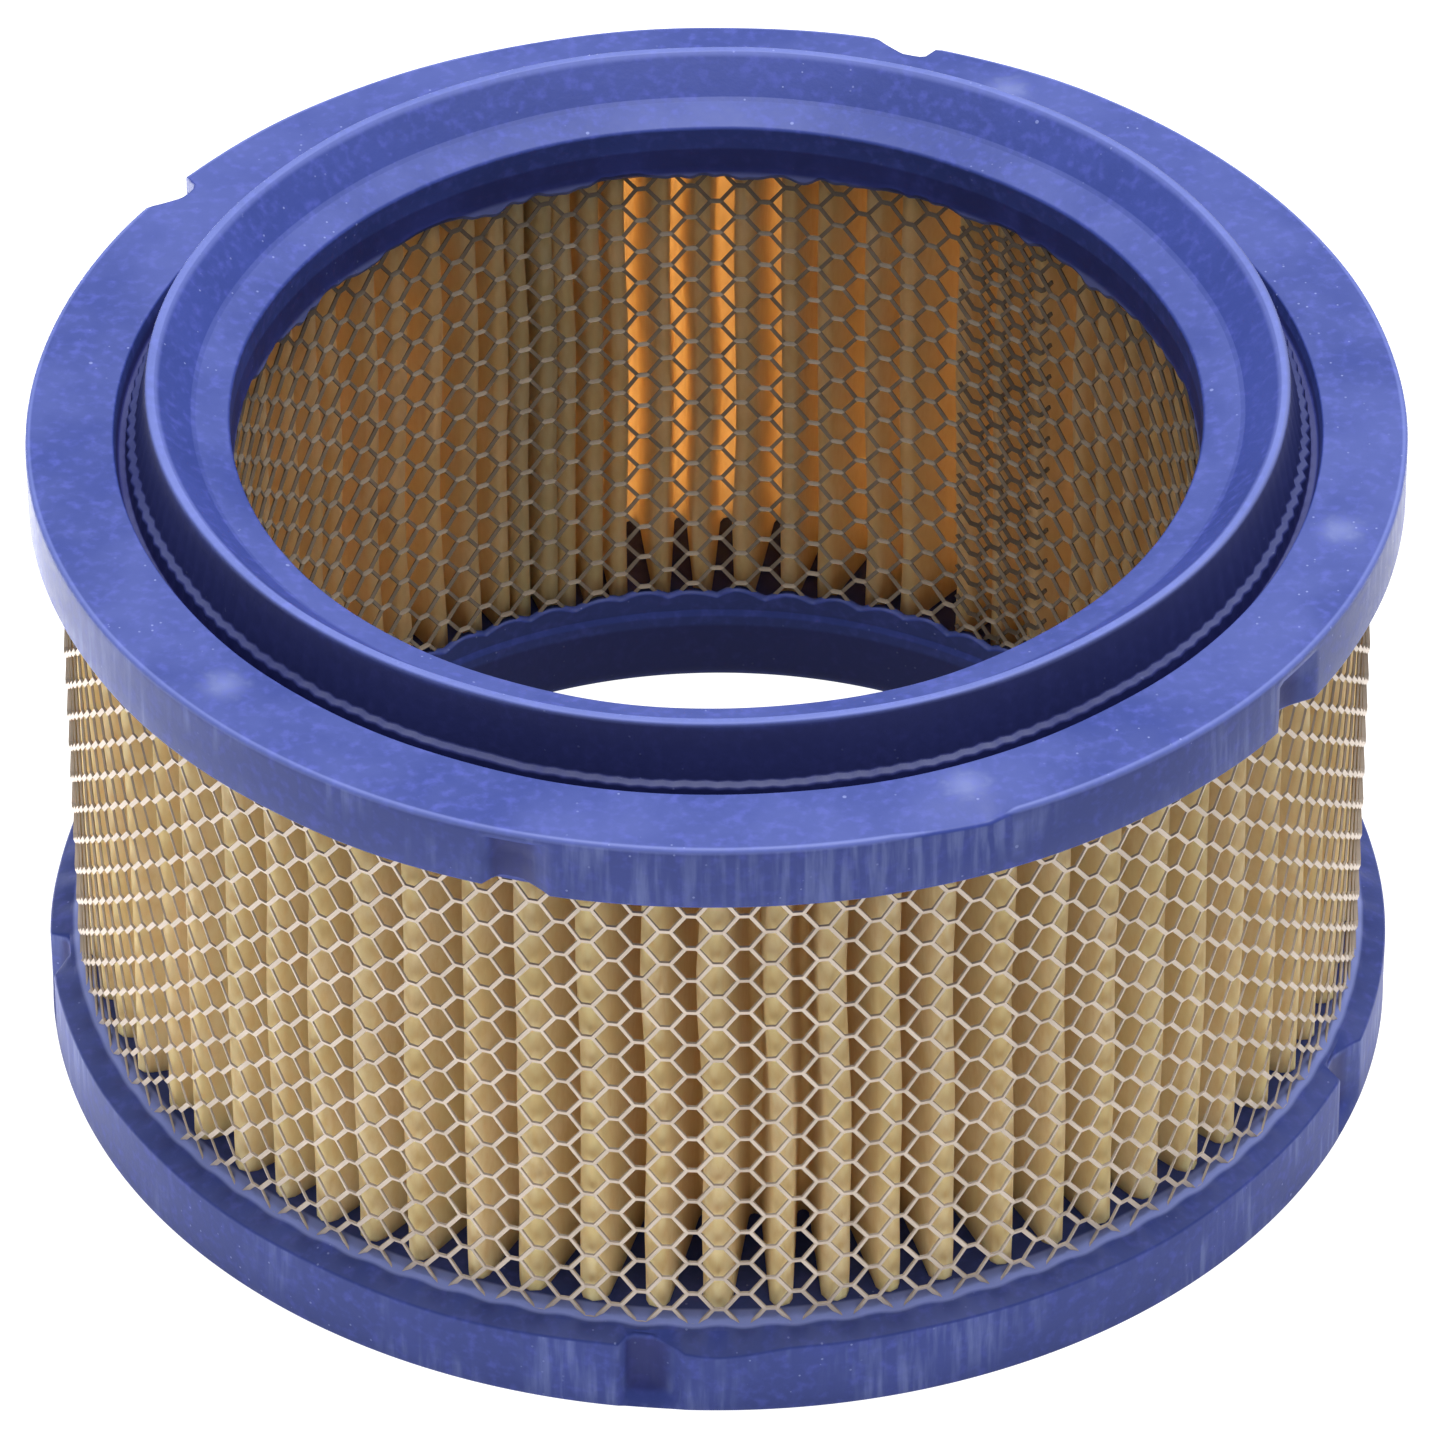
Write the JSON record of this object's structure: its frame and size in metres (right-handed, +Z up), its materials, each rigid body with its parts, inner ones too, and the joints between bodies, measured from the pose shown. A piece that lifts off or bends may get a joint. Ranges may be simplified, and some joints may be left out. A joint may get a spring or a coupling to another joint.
{
  "type": "air filter element",
  "caption": "Ring-shaped pleated air filter element with two cast end caps, expanded-metal sleeves inside and out, and a raised sealing lip.",
  "frame": {"origin": "centre of the underside, where the axis of the ring meets the face that the element rests on", "axes": "+Z up along the ring's axis, towards the cap with the sealing lip; -Y is the front; +X is to the right seen from the front"},
  "size_m": [0.1492, 0.1492, 0.0833],
  "materials": {
    "cast_blue": "cast, satin",
    "expanded_metal": "plated, satin",
    "filter_paper": "resin-treated paper",
    "adhesive": "set hot-melt adhesive"
  },
  "bodies": {
    "root": {"bottom_end_cap": "cast_blue", "top_end_cap": "cast_blue", "inner_screen": "expanded_metal", "outer_screen": "expanded_metal", "pleated_media": "filter_paper", "media_joint_bead": "adhesive"}
  },
  "joints": []
}
